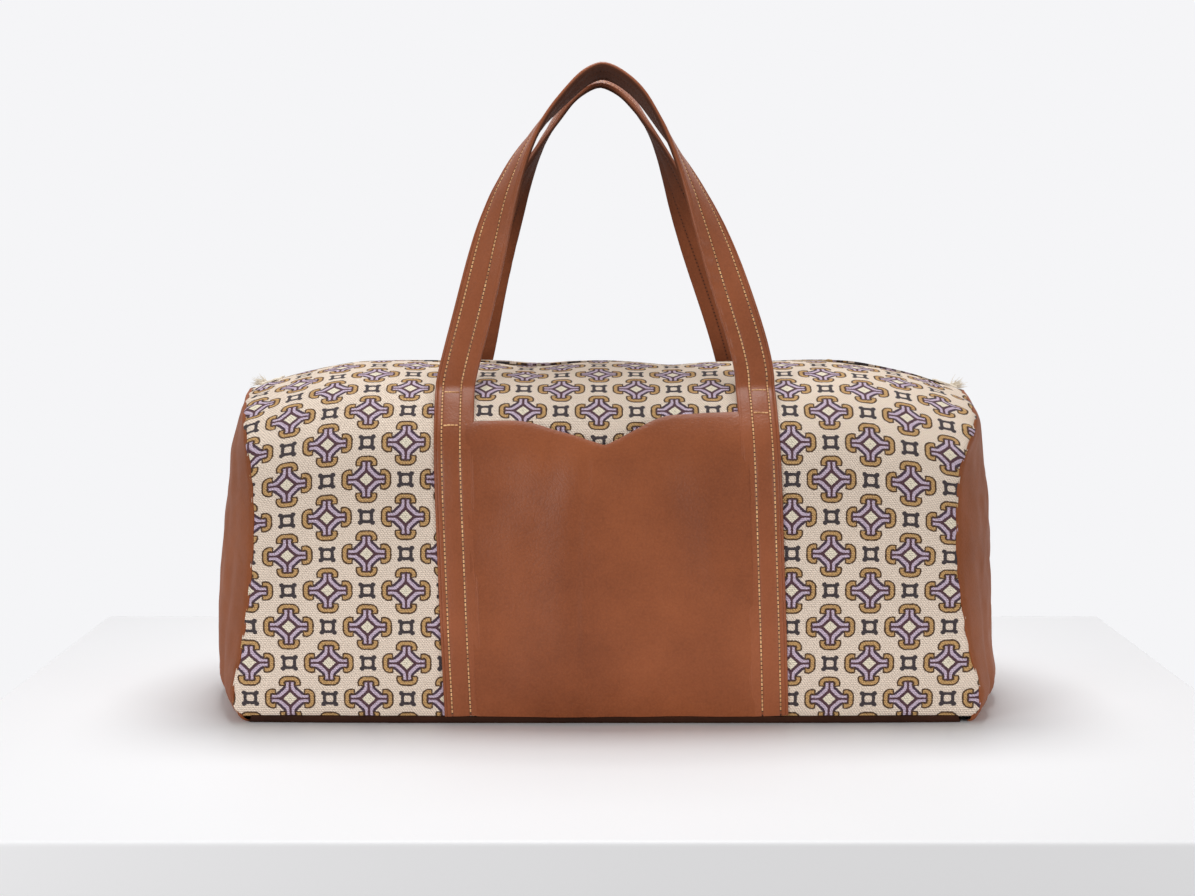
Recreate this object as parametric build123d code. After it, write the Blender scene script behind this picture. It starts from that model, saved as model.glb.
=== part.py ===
from build123d import *
import math
import os

# Travel bag: a soft zipped holdall of printed canvas with leather ends, base, pocket, straps and handles.
# Millimetres. X runs along the bag, Y from front (-Y) to back, Z up from the face that it stands on.

# Body of the filled bag
body_depth = 235.0
crest_height = 231.5
widest_height = 80.0
side_tuck_in = 5.0
corner_setback = 3.0
setback_power = 4
shoulder_power = 5.0

# Ridge, level along the middle and falling towards the ends
ridge_level_half = 150.0
ridge_fall = 20.0
ridge_fall_span = 99.0
ridge_fall_power = 1.8

# Seam between the cloth and each leather end, as half the length of the cloth
seam_waist = 229.5
seam_waist_height = 140.0
seam_spread_low = 14.5
seam_spread_low_span = 118.0
seam_spread_high = 16.0
seam_spread_high_span = 72.0
foot_corner_radius = 24.0

# Pillow shape of the leather ends
end_bulge = 34.0
end_bulge_height = 95.0
end_bulge_span = 118.0
end_foot_bulge = 16.0

# Sheet thicknesses
panel_thickness = 1.8
lining_thickness = 0.6
pocket_thickness = 1.6
strap_thickness = 3.2
board_thickness = 2.0
seat_gap = 0.1
seam_gap = 0.5
lining_ease = 5.0
lining_squareness = 5.0
lining_foot_round = 4.0
lining_mouth_height = 216.0
lining_end_power = 12.0
lining_end_root = 4.0

# Base
base_edge_height = 5.0
base_edge_radius = 6.0
base_half_length = 233.0

# Straps sewn on the front and the back
strap_width = 26.5
strap_spacing = 200.0
strap_lean = 8.0
strap_foot_height = 5.6
strap_top_height = 217.6

# Handles
handle_width = 26.0
handle_thickness = 4.0
handle_apex_height = 433.0
handle_root_height = 216.0
handle_meeting_gap = 0.5
handle_arch_power = 1.4
handle_arch_root = 0.62
handle_twist_start = 0.14
handle_twist_end = 0.86
handle_spans = 30
running_gap = 0.3

# Slip pocket on the front
pocket_tuck = 5.0
pocket_belly = 6.0
pocket_belly_rise = 95.0
mouth_left_height = 196.5
mouth_right_height = 203.0
mouth_flat_left = -58.0
mouth_flat_right = 34.0
mouth_flat_right_height = 198.0
notch_place = -4.0
notch_height = 180.5
notch_radius = 7.0
mouth_radius = 30.0

# Zip
slot_half_width = 5.0
zip_level_half = 165.0
tape_past_teeth = 10.0
tape_thickness = 0.8
tape_drop = 0.8
tape_outer_edge = 15.0
teeth_half_length = 226.0
tooth_pitch = 3.2
tooth_height = 2.2
tooth_reach = 0.9
tooth_spine = 2.4
tooth_gap = 0.1
slider_length = 14.0
slider_width = 8.4
slider_corner = 2.0
slider_plate = 1.1
slider_lip = 1.2
slider_lip_setback = 2.0
lug_length = 4.8
lug_half_width = 1.2
lug_above_pin = 1.4
pull_length = 30.0
pull_width = 7.6
pull_thickness = 1.2
pull_eye_radius = 1.6
pin_radius = 0.7
pin_rise = 1.9
stop_length = 3.0

# Cloth tabs at the ends of the zip
tab_start = 232.0
tab_end = 245.0
tab_half_width = 8.0
tab_thickness = 1.2

# Stiff board inside, on the base
board_length = 400.0
board_width = 184.0
board_corner = 30.0

# Reach of the cutting blocks, past everything
far = 400.0


def ridge(x):
    """Height of the ridge at a place along the bag."""
    past = max(0.0, abs(x) - ridge_level_half) / ridge_fall_span
    return crest_height - ridge_fall * past**ridge_fall_power


def seam_reach(z):
    """Half length of the cloth at height z: waisted between the base and the ridge."""
    if z < seam_waist_height:
        spread = seam_spread_low * ((seam_waist_height - z) / seam_spread_low_span) ** 2
    else:
        spread = seam_spread_high * ((z - seam_waist_height) / seam_spread_high_span) ** 2
    below = max(0.0, foot_corner_radius - z)
    foot = foot_corner_radius - math.sqrt(foot_corner_radius**2 - below**2)
    return seam_waist + spread - foot


def height_at(x, rise):
    """Height for a rise from -1 at the floor, through 0 at the widest height, to 1 on the ridge."""
    if rise < 0:
        return widest_height * (1 + rise)
    return widest_height + (ridge(x) - widest_height) * rise


def body_point(x, rise):
    """Point of the front face: a near upright wall below, a large soft shoulder above."""
    z = height_at(x, rise)
    wall = body_depth / 2 - corner_setback * (x / seam_waist) ** setback_power
    wall -= side_tuck_in * min(0.0, rise) ** 2
    depth = wall * math.sqrt(max(0.0, 1 - max(0.0, rise) ** shoulder_power))
    return Vector(x, -depth, z)


def outward_at(x, rise):
    """Outward normal of the front face."""
    dx, dr = 0.05, 1e-5
    side = body_point(x + dx, rise) - body_point(x - dx, rise)
    up = body_point(x, rise + dr) - body_point(x, rise - dr)
    return side.cross(up).normalized()


def rise_at(depth, x=0.0):
    """Rise at which the shoulder has closed to this half depth."""
    wall = body_depth / 2 - corner_setback * (x / seam_waist) ** setback_power
    return (1 - (depth / wall) ** 2) ** (1 / shoulder_power)


def rise_of(z, x=0.0):
    """Rise of the front face at height z."""
    if z < widest_height:
        return z / widest_height - 1
    return (z - widest_height) / (ridge(x) - widest_height)


def flat_outward_at(x, rise):
    """Outward normal of the front face within its own section across the bag."""
    normal = outward_at(x, rise)
    return Vector(0, normal.Y, normal.Z).normalized()


def ribbon_wire(outer, inner):
    """Closed thin section between two curves."""
    ends = [Line(outer[-1], inner[-1]).edge(), Line(inner[0], outer[0]).edge()]
    return Wire([Spline(*outer).edge(), ends[0], Spline(*reversed(inner)).edge(), ends[1]])


def no_swell(x, z):
    """A sheet that lies flat on what it is sewn to."""
    return 0.0


def front_skin(places, rises, low, high, swell=no_swell):
    """A sheet on the front face, between two distances outward from it, bellied out by swell."""
    wires = []
    for x in places:
        base = [body_point(x, rise) for rise in rises]
        ways = [flat_outward_at(x, rise) for rise in rises]
        swells = [swell(x, point.Z) for point in base]
        outer = [point + way * (high + more) for point, way, more in zip(base, ways, swells)]
        inner = [point + way * (low + more) for point, way, more in zip(base, ways, swells)]
        wires.append(ribbon_wire(outer, inner))
    return Solid.make_loft(wires)


def block(x0, x1, y0, y1, z0, z1):
    """A block between two corners."""
    return Pos((x0 + x1) / 2, (y0 + y1) / 2, (z0 + z1) / 2) * Box(x1 - x0, y1 - y0, z1 - z0)


def through_y(outline, depth=far):
    """A closed outline drawn in X and Z, carried through a depth centred on the middle plane."""
    return Pos(0, depth / 2, 0) * extrude(Plane.XZ * make_face(outline), amount=depth)


def export(name, solid):
    """Write one piece to its own file."""
    export_step(solid, f"parts/{name}.step")


def behind(solid):
    """The same piece on the back of the bag."""
    return mirror(solid, about=Plane.XZ)


os.makedirs("parts", exist_ok=True)

# Canvas front and back, from the base seam over the shoulder to the zip
base_rise = base_edge_height / widest_height - 1
shoulder_shares = (0.985, 0.94, 0.87, 0.78, 0.67, 0.55, 0.42, 0.28, 0.15)
front_rises = [base_rise * share for share in (1, 0.85, 0.55, 0.25)] + [0.0, 0.25, 0.45]
front_rises += [rise_at(share * body_depth / 2) for share in shoulder_shares]
front_rises.append(rise_at(slot_half_width))
places = [0, 60, 110, 145, 165, 185, 205, 225, 240, 254]
places = [-x for x in reversed(places[1:])] + places
seam_heights = (base_edge_height - 1, 12, 24, 45, 70, 100, 140, 170, 195, 215)
right_seam = [(seam_reach(max(z, base_edge_height)) - seam_gap, z) for z in seam_heights]
left_seam = [(-x, z) for x, z in reversed(right_seam)]
cloth_region = through_y(
    Spline(*right_seam) + Line(right_seam[-1], left_seam[0]) + Spline(*left_seam) + Line(left_seam[-1], right_seam[0])
)
above = seam_heights[-1]
top_reach = right_seam[-1][0]
cloth_region = cloth_region + block(-top_reach, top_reach, -far / 2, far / 2, above, far)
front_panel = front_skin(places, front_rises, -panel_thickness, 0.0) & cloth_region
export("front_panel", front_panel)
export("back_panel", behind(front_panel))

# Leather ends: a pillow stretched between the front and back seams


def seam_corner(z):
    """Point of the front seam at height z."""
    x = seam_reach(z)
    return body_point(x, rise_of(z, x))


def end_section(z, corner, bulge):
    """Section of the end at height z, from the front seam round to the back one."""
    shares = [-1 + 2 * i / 10 for i in range(11)]
    mitre = panel_thickness * 1.25
    outer = [Vector(corner.X + bulge * (1 - s * s), -corner.Y * s, z) for s in shares]
    depth = -corner.Y - mitre
    swell = bulge - panel_thickness
    inner = [Vector(corner.X + swell * (1 - s * s), depth * s, z) for s in shares]
    return ribbon_wire(outer, inner)


def end_sections():
    """Sections of the end from its rounded foot to its top."""
    foot = seam_corner(base_edge_height)
    low_corner = Vector(base_half_length + seat_gap, foot.Y + base_edge_radius, seat_gap)
    found = [end_section(seat_gap, low_corner, end_foot_bulge)]
    for z in (base_edge_height, 14, 28, 48, 70, 95, 120, 145, 168, 186, 198, 206, 211):
        found.append(end_section(z, seam_corner(z), end_bulge_at(z)))
    return found


def end_bulge_at(z):
    """How far the pillow of the end stands out past the seam."""
    fall = abs(z - end_bulge_height) / end_bulge_span
    return max(panel_thickness + 0.6, end_bulge * (1 - fall**4))


right_end = Solid.make_loft(end_sections())
export("right_end_panel", right_end)
export("left_end_panel", mirror(right_end, about=Plane.YZ))

# Leather base, its long edges turned up to meet the canvas


def base_outline(inset):
    """Plan of the base, bowed like the foot of the canvas."""
    middle = body_point(0, base_rise).Y + inset
    corner = body_point(base_half_length, base_rise).Y + inset
    right = base_half_length
    tip = right + end_foot_bulge - 2 * panel_thickness
    shoulder = corner + base_edge_radius + seam_gap
    front = ThreePointArc((-right, corner), (0, middle), (right, corner))
    step = Line((right, corner), (right, shoulder))
    right_end_line = step + ThreePointArc((right, shoulder), (tip, 0), (right, -shoulder)) + mirror(step, Plane.XZ)
    half = front + right_end_line
    return make_face(half + mirror(right_end_line, Plane.YZ) + mirror(front, Plane.XZ))


def base_block(inset, floor, radius):
    """The base as a slab with its lower long edges rounded."""
    slab = Pos(0, 0, floor) * extrude(base_outline(inset), amount=base_edge_height - floor)
    long_edges = slab.edges().group_by(Axis.Z)[0].sort_by(Axis.Y)
    return fillet([long_edges[0], long_edges[-1]], radius)


base_fillet = base_edge_height - 0.4
inner_base = base_block(panel_thickness, panel_thickness, base_fillet - panel_thickness)
export("bottom_panel", base_block(0.0, 0.0, base_fillet) - inner_base)

# Slip pocket with a notched mouth, bellied away from the canvas between the straps


def strap_middle(x_side, z):
    """Middle of a strap at height z: the straps lean a little, as the filled bag has settled."""
    return x_side * strap_spacing / 2 + strap_lean * (1 - z / handle_root_height)


def pocket_swell(x, z):
    """How far the pocket stands off the canvas: none at its sewn foot and sides."""
    half_span = strap_spacing / 2 - strap_width / 2
    across = max(0.0, 1 - ((x - strap_middle(0, z)) / half_span) ** 2)
    up = min(1.0, max(0.0, (z - base_edge_height) / pocket_belly_rise))
    return pocket_belly * across**1.5 * math.sin(math.pi / 2 * up)


def pocket_edge(x_side, z):
    """Sewn side edge of the pocket, tucked under the strap."""
    return strap_middle(x_side, z) - x_side * (strap_width / 2 - pocket_tuck)


pocket_foot = strap_foot_height
mouth = FilletPolyline(
    (pocket_edge(-1, mouth_left_height), mouth_left_height),
    (mouth_flat_left, mouth_left_height),
    (notch_place, notch_height),
    (mouth_flat_right, mouth_flat_right_height),
    (pocket_edge(1, mouth_right_height), mouth_right_height),
    radius=[mouth_radius, notch_radius, mouth_radius],
)
sides = Polyline(
    (pocket_edge(1, mouth_right_height), mouth_right_height),
    (pocket_edge(1, pocket_foot), pocket_foot),
    (pocket_edge(-1, pocket_foot), pocket_foot),
    (pocket_edge(-1, mouth_left_height), mouth_left_height),
)
pocket_half = strap_spacing / 2 + strap_lean
pocket_places = [pocket_half * share for share in (-1, -0.8, -0.55, -0.28, 0, 0.28, 0.55, 0.8, 1)]
pocket_rises = front_rises[:12]
pocket_skin = front_skin(pocket_places, pocket_rises, seat_gap, seat_gap + pocket_thickness, pocket_swell)
front_pocket = (pocket_skin & through_y(mouth + sides)) - front_panel
export("front_pocket", front_pocket)

# Straps, sewn down from the base to the shoulder, where the handles carry them on
root_rise = rise_of(handle_root_height)
strap_outer = seat_gap + strap_thickness
strap_base_rise = rise_of(strap_foot_height)
strap_top_rise = rise_of(strap_top_height)
wall_part = [strap_base_rise * share for share in (1, 0.6, 0.25)] + [0.0, 0.25, 0.45]
shoulder_part = [0.57, 0.66, 0.74, 0.8, 0.85]
strap_rises = wall_part + shoulder_part + [root_rise, strap_top_rise]


def strap_strip(x_side):
    """Leaning strip, the width of a strap."""
    half = strap_width / 2
    low, high = 0.0, crest_height
    foot, head = strap_middle(x_side, low), strap_middle(x_side, high)
    corners = [(foot - half, low), (foot + half, low), (head + half, high), (head - half, high)]
    return through_y(Polyline(*corners, close=True))


for x_side, side_name in ((-1, "left"), (1, "right")):
    strap_places = [x_side * strap_spacing / 2 + strap_width * share for share in (-1, -0.35, 0.35, 1)]
    strap = front_skin(strap_places, strap_rises, seat_gap, strap_outer) & strap_strip(x_side)
    export(f"back_{side_name}_strap", behind(strap))
    export(f"front_{side_name}_strap", strap - front_pocket)

# Handles: flat leather straps that stand face on at the root and twist a quarter turn on the way up
root = body_point(strap_spacing / 2, root_rise)
root_way = flat_outward_at(strap_spacing / 2, root_rise)
pivot = root + root_way * (strap_outer + running_gap + handle_thickness / 2)
half_spread = strap_spacing / 2
apex_y = -(handle_width / 2 + handle_meeting_gap)
lean = math.atan2(apex_y - pivot.Y, handle_apex_height - pivot.Z)
handle_up = Vector(0, math.sin(lean), math.cos(lean))
handle_front = Vector(0, -math.cos(lean), math.sin(lean))
arch_height = (handle_apex_height - pivot.Z) / math.cos(lean)
arch_foot = Vector(0, pivot.Y, pivot.Z)


def arch_point(turn):
    """Point of the handle's middle line in its own plane; turn runs from 0 at the left root to 1."""
    across = math.cos(math.pi * turn)
    rise = (1 - abs(across) ** (1 / handle_arch_root)) ** (1 / handle_arch_power)
    return arch_foot + Vector(-half_spread * across, 0, 0) + handle_up * (arch_height * rise)


def arch_turns():
    """Turns that part the arch into spans of one length."""
    fine = 600
    points = [arch_point(i / fine) for i in range(fine + 1)]
    run = [0.0]
    for a, b in zip(points, points[1:]):
        run.append(run[-1] + (b - a).length)
    turns = []
    for i in range(handle_spans + 1):
        goal = run[-1] * i / handle_spans
        at = max(k for k in range(fine) if run[k] <= goal + 1e-9)
        turns.append((at + (goal - run[at]) / (run[at + 1] - run[at])) / fine)
    return turns


def smooth(share):
    """An S curve from 0 to 1."""
    share = min(1.0, max(0.0, share))
    return share * share * (3 - 2 * share)


def handle_section(turn, share):
    """Section of the handle, at a share of its length from the left root to the right one."""
    x_side = -1 if share < 0.5 else 1
    up_share = 1 - abs(2 * share - 1)
    ahead = arch_point(min(1.0, turn + 0.002)) - arch_point(max(0.0, turn - 0.002))
    if up_share < 1e-6:
        ahead = handle_up * -x_side
    tangent = ahead.normalized()
    inward = handle_front.cross(tangent)
    if x_side * inward.X > 0:
        inward = inward * -1
    twist = math.pi / 2 * smooth((up_share - handle_twist_start) / (handle_twist_end - handle_twist_start))
    width_way = inward * math.cos(twist) + handle_front * math.sin(twist)
    plane = Plane(origin=arch_point(turn), x_dir=width_way, z_dir=tangent)
    return Wire((plane * Rectangle(handle_width, handle_thickness)).edges())


turns = arch_turns()
front_handle = Solid.make_loft([handle_section(turn, i / handle_spans) for i, turn in enumerate(turns)])
for x_side in (-1, 1):
    knuckle = Rot(0, 90, 0) * Cylinder(handle_thickness / 2, handle_width)
    front_handle = front_handle + Pos(x_side * half_spread, pivot.Y, pivot.Z) * knuckle
export("front_handle", front_handle)
export("back_handle", behind(front_handle))

# Zip: two tapes, two rows of teeth that mesh, and stops at both ends
bend_places = (165, 180, 195, 210, 225)


def zip_level(x):
    """Top of the zip tape: level along the middle, then following the ridge down."""
    return ridge(max(abs(x), zip_level_half)) - panel_thickness - tape_drop


def zip_band(x0, x1, y0, y1, low, high):
    """A band that follows the zip between two distances from the top of the tape."""
    bends = [x for place in bend_places for x in (-place, place) if x0 < x < x1]
    stations = sorted([x0, x1] + bends)
    under = [(x, zip_level(x) + low) for x in stations]
    over = [(x, zip_level(x) + high) for x in reversed(stations)]
    return Pos(0, y1, 0) * extrude(Plane.XZ * make_face(Polyline(*under, *over, close=True)), amount=y1 - y0)


tape_half_length = teeth_half_length + tape_past_teeth
front_tape = zip_band(-tape_half_length, tape_half_length, -tape_outer_edge, -tooth_spine, -tape_thickness, 0)
export("zip_tape_front", front_tape)
export("zip_tape_back", behind(front_tape))
tooth_low = -(tape_thickness + tooth_height) / 2
tooth_high = tooth_low + tooth_height
tooth_length = tooth_pitch / 2 - tooth_gap


def tooth_row(shift):
    """Comb outline of the front row, its teeth shifted along the zip by a share of the pitch."""
    points = [(-teeth_half_length, -tooth_spine), (-teeth_half_length, -tooth_reach)]
    for i in range(int(2 * teeth_half_length / tooth_pitch) - 1):
        start = -teeth_half_length + tooth_pitch * (i + 0.25 + shift)
        end = start + tooth_length
        points += [(start, -tooth_reach), (start, tooth_reach - tooth_gap)]
        points += [(end, tooth_reach - tooth_gap), (end, -tooth_reach)]
    points += [(teeth_half_length, -tooth_reach), (teeth_half_length, -tooth_spine)]
    comb = Pos(0, 0, widest_height) * extrude(make_face(Polyline(*points, close=True)), amount=far)
    band = zip_band(-teeth_half_length, teeth_half_length, -tooth_spine, tooth_spine, tooth_low, tooth_high)
    return comb & band


export("zip_teeth_front", tooth_row(0.0))
export("zip_teeth_back", behind(tooth_row(0.5)))
stop_end = teeth_half_length + stop_length
front_stop = zip_band(teeth_half_length, stop_end, -tooth_spine, -tooth_gap, tooth_low, tooth_high)
export("zip_top_stops", Compound(children=[front_stop, behind(front_stop)]))
export("zip_bottom_stop", zip_band(-stop_end, -teeth_half_length, -tooth_spine, tooth_spine, tooth_low, tooth_high))

# Slider: a plate over the teeth with a lip down each side, a lug and a pin for the pull
slider_x = zip_level_half - slider_length / 2 - running_gap
plate_bottom = zip_level(0) + tooth_high + running_gap
plate_top = plate_bottom + slider_plate
half_slider = slider_width / 2
plate = block(-slider_length / 2, slider_length / 2, -half_slider, half_slider, plate_bottom, plate_top)
plate = fillet(plate.edges().filter_by(Axis.Z), slider_corner)
lip_half = slider_length / 2 - slider_lip_setback
lip_foot = zip_level(0) + running_gap
lip = block(-lip_half, lip_half, -half_slider, -half_slider + slider_lip, lip_foot, plate_bottom)
pin_height = plate_top + pin_rise
lug_top = pin_height + lug_above_pin
lug = block(-lug_length / 2, lug_length / 2, -lug_half_width, lug_half_width, plate_top, lug_top)
lug = fillet(lug.edges().filter_by(Axis.Y).group_by(Axis.Z)[-1], lug_above_pin / 2)
pin_line = Pos(0, 0, pin_height) * Rot(90, 0, 0)
pin = pin_line * Cylinder(pin_radius, pull_width - 0.6)
slider = plate + lip + behind(lip) + lug + pin
export("zip_slider", Pos(slider_x, 0, 0) * slider)

# Pull: a forked tab that turns on the lug's pin and lies back along the zip
half_pull = pull_thickness / 2
pull = block(-pull_length, 0, -pull_width / 2, pull_width / 2, pin_height - half_pull, pin_height + half_pull)
pull = fillet(pull.edges().filter_by(Axis.Z).group_by(Axis.X)[0], pull_width / 2 - 0.2)
pull = pull + pin_line * Cylinder(pull_eye_radius, pull_width)
lug_reach = math.hypot(lug_length / 2, pin_rise) + running_gap
cheek_inner = lug_half_width + running_gap
pull = pull - block(-lug_reach, pull_length, -cheek_inner, cheek_inner, plate_top, plate_top + 2 * pull_length)
pull = pull - pin_line * Cylinder(pin_radius + running_gap / 2, 2 * pull_width)
export("zip_pull", Pos(slider_x, 0, 0) * pull)

# Cloth tabs folded over the ends of the zip
tab_places = [tab_start, (tab_start + tab_end) / 2, tab_end]
tab_under = [(x, ridge(x) + seat_gap) for x in tab_places]
tab_over = [(x, ridge(x) + seat_gap + tab_thickness) for x in reversed(tab_places)]
right_tab = through_y(Polyline(*tab_under, *tab_over, close=True), 2 * tab_half_width)
export("zip_end_tab_right", right_tab)
export("zip_end_tab_left", mirror(right_tab, about=Plane.YZ))

# Lining, a thinner bag inside the first, open under the zip


def lining_section(z, inset):
    """Rounded oblong of the lining at height z."""
    shift = lining_ease + inset
    rise = max(0.0, (z - widest_height) / (crest_height - shift - widest_height))
    reach = (seam_waist - shift) * (1 - rise**lining_end_power) ** (1 / lining_end_root)
    depth = (body_depth / 2 - side_tuck_in - shift) * math.sqrt(1 - rise**shoulder_power)
    count = 36
    power = 2 / lining_squareness
    points = []
    for i in range(count):
        across, along = math.cos(2 * math.pi * i / count), math.sin(2 * math.pi * i / count)
        x = reach * math.copysign(abs(across) ** power, across)
        y = depth * math.copysign(abs(along) ** power, along)
        points.append((x, y, z))
    return Wire([Spline(*points, periodic=True).edge()])


def lining_form(inset):
    """Form of the lining, its foot rounded in, as a closed solid."""
    floor = panel_thickness + seat_gap / 2 + inset
    heights = (14, 40, 80, 120, 160, 185, 202, lining_mouth_height + 2 - inset)
    foot = [lining_section(floor, inset + lining_foot_round), lining_section(floor + lining_foot_round, inset)]
    return Solid.make_loft(foot + [lining_section(z, inset) for z in heights])


lining_inner = lining_form(lining_thickness)
lining = (lining_form(0.0) - lining_inner) & block(-far, far, -far, far, 0, lining_mouth_height)
export("lining", lining)
board_floor = panel_thickness + seat_gap + lining_thickness
board = extrude(RectangleRounded(board_length, board_width, board_corner), amount=board_thickness)
export("base_board", Pos(0, 0, board_floor) * board)
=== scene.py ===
import math
from collections import namedtuple
from functools import lru_cache, partial
from itertools import pairwise

import bmesh
import bpy
import numpy as np
from mathutils import Matrix, Vector, noise


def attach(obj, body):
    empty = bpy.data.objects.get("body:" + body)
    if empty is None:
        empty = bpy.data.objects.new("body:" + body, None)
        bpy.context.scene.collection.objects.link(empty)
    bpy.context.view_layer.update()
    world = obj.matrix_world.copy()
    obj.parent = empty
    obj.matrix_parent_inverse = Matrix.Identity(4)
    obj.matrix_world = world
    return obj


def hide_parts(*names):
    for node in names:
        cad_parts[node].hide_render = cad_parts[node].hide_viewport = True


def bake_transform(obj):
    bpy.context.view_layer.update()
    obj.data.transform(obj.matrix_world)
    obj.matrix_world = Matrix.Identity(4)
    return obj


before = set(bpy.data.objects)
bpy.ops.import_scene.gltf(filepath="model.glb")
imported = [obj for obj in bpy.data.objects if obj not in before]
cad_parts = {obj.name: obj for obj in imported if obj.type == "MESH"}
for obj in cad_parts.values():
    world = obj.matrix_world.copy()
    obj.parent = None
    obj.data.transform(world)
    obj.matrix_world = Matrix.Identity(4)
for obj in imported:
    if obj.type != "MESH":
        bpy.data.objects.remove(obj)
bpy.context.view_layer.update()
scene = bpy.context.scene

# The setting: a pale table under an even white surround, three large soft lamps, and a camera a metre and a
# half in front of the bag, a little above its zip. Metres throughout; the bag's front faces -Y.

camera_place = (-0.0048, -1.467, 0.3135)
camera_dip = math.radians(5.54)
camera_data = bpy.data.cameras.new("camera")
camera_data.sensor_width = 36.0
camera_data.lens = 63.0
camera = bpy.data.objects.new("camera", camera_data)
camera.location = camera_place
camera.rotation_euler = (math.pi / 2 - camera_dip, 0, 0)
scene.collection.objects.link(camera)
scene.camera = camera
scene.view_settings.view_transform = "Standard"


def tint(red, green, blue):
    """A colour written as it shows on screen, 0 to 255, as the light it stands for."""
    shown = [part / 255 for part in (red, green, blue)]
    light = [part / 12.92 if part <= 0.04045 else ((part + 0.055) / 1.055) ** 2.4 for part in shown]
    return (*light, 1.0)


def add(tree, kind, inputs=(), **settings):
    """A shader node with its settings and its inputs, each input a plain value or another node's output."""
    node = tree.nodes.new("ShaderNode" + kind)
    for setting, value in settings.items():
        setattr(node, setting, value)
    for key, value in dict(inputs).items():
        if isinstance(value, bpy.types.NodeSocket):
            tree.links.new(value, node.inputs[key])
        else:
            node.inputs[key].default_value = value
    return node


surround = tint(245, 245, 247)
world = bpy.data.worlds.new("surround")
scene.world = world
world.use_nodes = True
tree = world.node_tree
tree.nodes.clear()
rays = add(tree, "LightPath")
seen = rays.outputs["Is Camera Ray"]
for ray in ("Is Glossy Ray", "Is Transmission Ray"):
    seen = add(tree, "Math", {0: seen, 1: rays.outputs[ray]}, operation="MAXIMUM").outputs[0]
ambient = add(tree, "Background", {"Color": tint(255, 253, 250), "Strength": 0.16})
shown = add(tree, "Background", {"Color": surround, "Strength": 1.0})
blend = add(tree, "MixShader", {0: seen, 1: ambient.outputs[0], 2: shown.outputs[0]})
tree.links.new(blend.outputs[0], add(tree, "OutputWorld").inputs["Surface"])


def lamp(name, place, target, size, power):
    """A square soft lamp that faces a point."""
    data = bpy.data.lights.new(name, "AREA")
    data.shape = "SQUARE"
    data.size = size
    data.energy = power
    light = bpy.data.objects.new(name, data)
    light.location = place
    light.rotation_euler = (Vector(target) - Vector(place)).to_track_quat("-Z", "Y").to_euler()
    scene.collection.objects.link(light)


lamp("lamp_left", (-1.5, -1.7, 0.48), (0, 0, 0.2), 0.8, 24)
lamp("lamp_right", (1.7, -1.6, 0.45), (0, 0, 0.2), 0.8, 18)
lamp("lamp_top", (0.0, 0.32, 1.55), (0, 0, 0.1), 0.8, 21)


def material(name):
    """An empty material and its Principled shader."""
    made = bpy.data.materials.new(name)
    made.use_nodes = True
    made.node_tree.nodes.clear()
    shader = add(made.node_tree, "BsdfPrincipled")
    made.node_tree.links.new(shader.outputs[0], add(made.node_tree, "OutputMaterial").inputs["Surface"])
    return made, made.node_tree, shader


def piece(name, bm, made, smooth_angle=40):
    """A finished piece from its mesh and its material."""
    mesh = bpy.data.meshes.new(name)
    bm.to_mesh(mesh)
    bm.free()
    mesh.materials.append(made)
    for face in mesh.polygons:
        face.use_smooth = True
    mesh.set_sharp_from_angle(angle=math.radians(smooth_angle))
    made_object = bpy.data.objects.new(name, mesh)
    scene.collection.objects.link(made_object)
    return made_object


table_half_length = 0.421
table_front, table_back = -0.387, 0.290
table_depth = 0.30
table_gap = 0.0003
table_paint, tree, shader = material("table_paint")
shader.inputs["Base Color"].default_value = tint(246, 246, 248)
shader.inputs["Roughness"].default_value = 0.5
shader.inputs["Specular IOR Level"].default_value = 0.2
bm = bmesh.new()
bmesh.ops.create_cube(bm, size=1.0)
bmesh.ops.scale(bm, vec=(2 * table_half_length, table_back - table_front, table_depth), verts=bm.verts)
middle = (table_front + table_back) / 2
bmesh.ops.translate(bm, vec=(0, middle, -table_depth / 2 - table_gap), verts=bm.verts)
bmesh.ops.bevel(bm, geom=bm.edges[:], offset=0.003, segments=3, profile=0.5, affect="EDGES", material=-1)
piece("table", bm, table_paint)

# Front and back panels: one cut of coarse woven canvas each, printed all over, from the base seam up the wall
# and over the stuffed shoulder to the zip. The bag's form below is the one that its source gives.

wall_depth = 0.235
crest_height = 0.2315
widest_height = 0.080
side_tuck_in = 0.005
corner_setback = 0.003
shoulder_power = 5
base_seam_height = 0.005
ridge_level_half, ridge_fall, ridge_fall_span = 0.150, 0.020, 0.099
seam_waist, seam_waist_height = 0.2295, 0.140
seam_low_span, seam_high_span = 0.118, 0.072
seam_low_spread = {1: 0.0178, -1: 0.0155}
seam_high_spread = 0.016
ear, ear_height, ear_width = {1: 0.0078, -1: 0.0}, 0.197, 0.018
foot_corner_radius = 0.024
slot_half_width = 0.005
canvas_thickness = 0.0014
canvas_columns, canvas_rows = 220, 132
seam_turn = 0.004
seam_turn_depth = 0.0016


def ridge(x):
    """Height of the ridge at a place along the bag."""
    past = max(0.0, abs(x) - ridge_level_half) / ridge_fall_span
    return crest_height - ridge_fall * past**1.8


def seam_reach(z, x_side):
    """Half length of the cloth at height z, on the bag's right (1) or left (-1)."""
    if z < seam_waist_height:
        spread = seam_low_spread[x_side] * ((seam_waist_height - z) / seam_low_span) ** 2
    else:
        spread = seam_high_spread * ((z - seam_waist_height) / seam_high_span) ** 2
        spread += ear[x_side] * math.exp(-(((z - ear_height) / ear_width) ** 2))
    below = max(0.0, foot_corner_radius - z)
    rounded = foot_corner_radius - math.sqrt(foot_corner_radius**2 - below**2)
    return seam_waist + spread - rounded


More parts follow.
